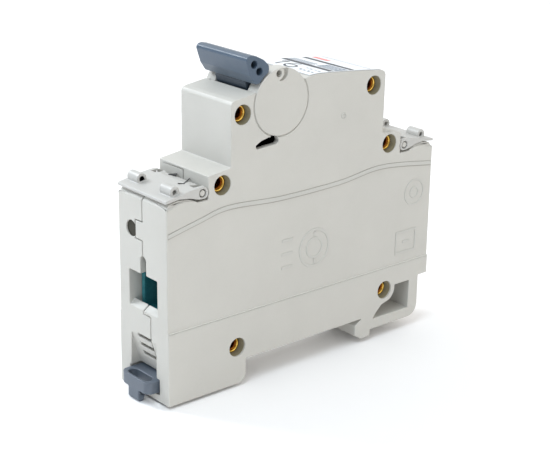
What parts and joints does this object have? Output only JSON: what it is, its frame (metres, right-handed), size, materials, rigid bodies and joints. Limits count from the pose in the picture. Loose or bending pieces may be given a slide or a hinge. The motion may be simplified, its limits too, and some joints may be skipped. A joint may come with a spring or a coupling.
{
  "type": "circuit breaker",
  "caption": "Single-pole miniature circuit breaker for a top-hat rail, with a rocking toggle, box-clamp terminals under hinged covers, a sliding rail clip and its inner switching mechanism.",
  "frame": {"origin": "centre of the flat rail seat, where the top of the rail bears", "axes": "+X along the length from the clip end (outgoing) to the incoming end, +Y across the width away from the near side, +Z from the rail towards the toggle"},
  "size_m": [0.0819, 0.018, 0.0749],
  "materials": {
    "housing_plastic": "moulded light grey, fine matt grain",
    "cover_plastic": "moulded pale grey, satin",
    "toggle_plastic": "moulded grey-blue, glossy",
    "clip_plastic": "moulded grey-blue, satin",
    "inner_plastic": "moulded black, satin",
    "brass": "drawn brass, bright rims",
    "zinc_steel": "zinc plated, blue passivation",
    "copper": "bare copper, slightly dull",
    "silver": "silver contact alloy, dull",
    "fibre": "red-brown vulcanised fibre board",
    "label_foil": "printed foil, satin"
  },
  "bodies": {
    "housing": {"housing_base": "housing_plastic", "housing_cover": "housing_plastic", "rivet_1": "brass", "rivet_2": "brass", "rivet_3": "brass", "rivet_4": "brass", "rivet_5": "brass", "rivet_6": "brass", "front_label": "label_foil", "toggle_pin": "zinc_steel", "arm_pin": "zinc_steel", "arm_spring": "zinc_steel", "trip_pin": "zinc_steel", "trip_spring": "zinc_steel", "mechanism_plate": "zinc_steel", "fixed_contact": "copper", "fixed_contact_tip": "silver", "upper_arc_runner": "zinc_steel", "arc_cheek_near": "fibre", "arc_cheek_far": "fibre", "arc_plate_1": "zinc_steel", "arc_plate_2": "zinc_steel", "arc_plate_3": "zinc_steel", "arc_plate_4": "zinc_steel", "arc_plate_5": "zinc_steel", "arc_plate_6": "zinc_steel", "arc_plate_7": "zinc_steel", "arc_plate_8": "zinc_steel", "coil": "copper", "coil_bobbin": "inner_plastic", "coil_yoke": "zinc_steel", "fixed_core": "zinc_steel", "plunger_spring": "zinc_steel", "bimetal_strip": "brass", "calibration_screw": "brass", "flexible_braid": "copper", "load_terminal_plate": "copper", "line_terminal_plate": "copper", "clip_spring": "zinc_steel"},
    "toggle": {"toggle": "toggle_plastic", "toggle_spring": "zinc_steel"},
    "link": {"link_wire": "zinc_steel"},
    "contact_arm": {"contact_arm": "copper", "moving_contact_tip": "silver", "latch_lever": "inner_plastic"},
    "trip_lever": {"trip_lever": "inner_plastic"},
    "plunger": {"plunger": "zinc_steel", "striker_pin": "brass"},
    "cover_left": {"terminal_cover_left": "cover_plastic"},
    "cover_right": {"terminal_cover_right": "cover_plastic"},
    "din_clip": {"din_clip": "clip_plastic"},
    "screw_left": {"terminal_screw_left": "zinc_steel"},
    "cage_left": {"clamp_cage_left": "zinc_steel"},
    "screw_right": {"terminal_screw_right": "zinc_steel"},
    "cage_right": {"clamp_cage_right": "zinc_steel"}
  },
  "joints": [
    {"name": "toggle_turn", "type": "hinge", "parent": "housing", "child": "toggle", "pos_m": [-0.00833, 0, 0.0575], "axis": [0, 1, 0], "range_deg": [0, 76]},
    {"name": "link_turn", "type": "hinge", "parent": "toggle", "child": "link", "pos_m": [-0.00503, 0.0036, 0.05474], "axis": [0, 1, 0], "range_deg": [-104, 0]},
    {"name": "arm_turn", "type": "hinge", "parent": "housing", "child": "contact_arm", "pos_m": [-0.00568, 0, 0.0404], "axis": [0, 1, 0], "range_deg": [-12.6, 0]},
    {"name": "trip_turn", "type": "hinge", "parent": "housing", "child": "trip_lever", "pos_m": [-0.01218, 0, 0.0344], "axis": [0, 1, 0], "range_deg": [0, 10], "stiffness_Nm_per_rad": 0.002, "springref_deg": -22.92},
    {"name": "plunger_slide", "type": "slide", "parent": "housing", "child": "plunger", "axis": [-1, 0, 0], "range_m": [0, 0.0028], "stiffness_N_per_m": 150, "springref_m": -0.002, "deforming": ["plunger_spring"]},
    {"name": "cover_left_turn", "type": "hinge", "parent": "housing", "child": "cover_left", "pos_m": [-0.02967, 0, 0.0411], "axis": [0, 1, 0], "range_deg": [0, 85]},
    {"name": "cover_right_turn", "type": "hinge", "parent": "housing", "child": "cover_right", "pos_m": [0.03012, 0, 0.0411], "axis": [0, -1, 0], "range_deg": [0, 85]},
    {"name": "clip_slide", "type": "slide", "parent": "housing", "child": "din_clip", "axis": [-1, 0, 0], "range_m": [0, 0.004], "stiffness_N_per_m": 800, "springref_m": -0.003, "deforming": ["clip_spring"]},
    {"name": "screw_left_turn", "type": "hinge", "parent": "housing", "child": "screw_left", "pos_m": [-0.03218, 0.0001, 0.0304], "axis": [0, 0, -1], "range_deg": [0, 2880]},
    {"name": "cage_left_slide", "type": "slide", "parent": "housing", "child": "cage_left", "axis": [0, 0, 1], "range_m": [0, 0.0064]},
    {"name": "screw_right_turn", "type": "hinge", "parent": "housing", "child": "screw_right", "pos_m": [0.03263, 0.0001, 0.0304], "axis": [0, 0, -1], "range_deg": [0, 2880]},
    {"name": "cage_right_slide", "type": "slide", "parent": "housing", "child": "cage_right", "axis": [0, 0, 1], "range_m": [0, 0.0064]}
  ],
  "couplings": [
    {"joint": "link_turn", "follows": "toggle_turn", "ratio": -1.363},
    {"joint": "arm_turn", "follows": "toggle_turn", "ratio": -0.16447},
    {"joint": "screw_left_turn", "follows": "cage_left_slide", "rad_per_m": 7854},
    {"joint": "screw_right_turn", "follows": "cage_right_slide", "rad_per_m": 7854}
  ]
}
